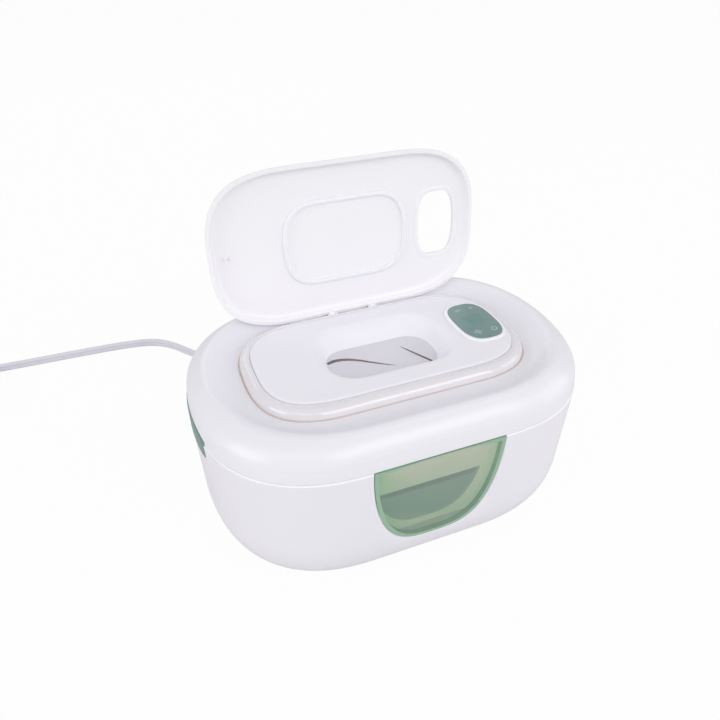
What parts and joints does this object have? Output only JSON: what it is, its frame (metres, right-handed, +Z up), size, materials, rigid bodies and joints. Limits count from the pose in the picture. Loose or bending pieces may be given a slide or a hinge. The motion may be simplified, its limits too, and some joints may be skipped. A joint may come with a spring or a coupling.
{
  "type": "baby wipe warmer",
  "caption": "Oval baby wipe warmer with a heated tank, hinged cover, flip lid over the wipe opening, light ring, touch panel, green window, side latch and mains lead.",
  "frame": {"origin": "centre of the footprint, on the surface the feet stand on", "axes": "+X along the body towards the main hinge end, +Y towards the back where the cord leaves, +Z up"},
  "size_m": [0.493, 0.3355, 0.2148],
  "materials": {
    "white_plastic": "smooth satin moulded",
    "cover_plastic": "fine satin moulded",
    "green_window": "clear tinted, glossy",
    "green_latch": "satin moulded",
    "tank_plastic": "satin moulded",
    "silicone_white": "matt silicone",
    "silicone_grey": "matt silicone",
    "plate_metal": "brushed, clear lacquer",
    "film": "polyimide film",
    "foam": "felted fibre",
    "circuit": "solder mask",
    "components": "moulded cases",
    "steel": "bright zinc",
    "contacts": "gold flashed",
    "feet_rubber": "matt",
    "cord_rubber": "satin",
    "tie_fabric": "hook and loop",
    "diffuser": "milky, glossy",
    "gasket_brown": "matt",
    "deck_plastic": "very fine texture",
    "bezel_plastic": "glossy",
    "panel_green": "dark back-printed, glossy",
    "leds": "phosphor"
  },
  "bodies": {
    "base": {"lower_housing": "white_plastic", "front_window": "green_window", "inner_tank": "tank_plastic", "tank_seal": "silicone_white", "heating_plate": "plate_metal", "heater_film": "film", "insulation_pad": "foam", "thermistor": "components", "thermal_fuse": "components", "base_plate": "white_plastic", "rubber_feet": "feet_rubber", "base_screws": "steel", "power_board": "circuit", "board_parts": "components", "board_screws": "steel", "inner_wiring": "cord_rubber", "contact_pins": "contacts", "latch_pin": "steel", "latch_spring": "steel", "main_hinge_pin": "steel", "strain_relief": "cord_rubber", "power_cord": "cord_rubber", "cord_coil": "cord_rubber", "cord_tie": "tie_fabric", "plug_body": "cord_rubber", "plug_blades": "steel"},
    "cover": {"upper_cover": "cover_plastic", "light_ring": "diffuser", "ring_gasket": "gasket_brown", "top_deck": "deck_plastic", "panel_bezel": "bezel_plastic", "panel_glass": "panel_green", "touch_board": "circuit", "led_board": "circuit", "led_chips": "leds", "flap_seal": "silicone_grey", "flap_retainer": "white_plastic", "inner_cover": "white_plastic", "cover_screws": "steel", "contact_pads": "contacts", "lid_hinge_pins": "steel"},
    "latch": {"release_latch": "green_latch"},
    "lid": {"flip_lid": "cover_plastic", "lid_seal": "silicone_white", "lid_bumpers": "silicone_white"}
  },
  "joints": [
    {"name": "cover_hinge", "type": "hinge", "parent": "base", "child": "cover", "pos_m": [0.1243, 0, 0.0935], "axis": [0, 1, 0], "range_deg": [0, 95]},
    {"name": "lid_hinge", "type": "hinge", "parent": "cover", "child": "lid", "pos_m": [0, 0.052, 0.1109], "axis": [1, 0, 0], "range_deg": [0, 94.75]},
    {"name": "latch_pivot", "type": "hinge", "parent": "base", "child": "latch", "pos_m": [-0.12, 0, 0.0895], "axis": [0, -1, 0], "range_deg": [0, 8], "stiffness_Nm_per_rad": 0.03, "springref_deg": -8.59, "deforming": ["latch_spring"]}
  ]
}
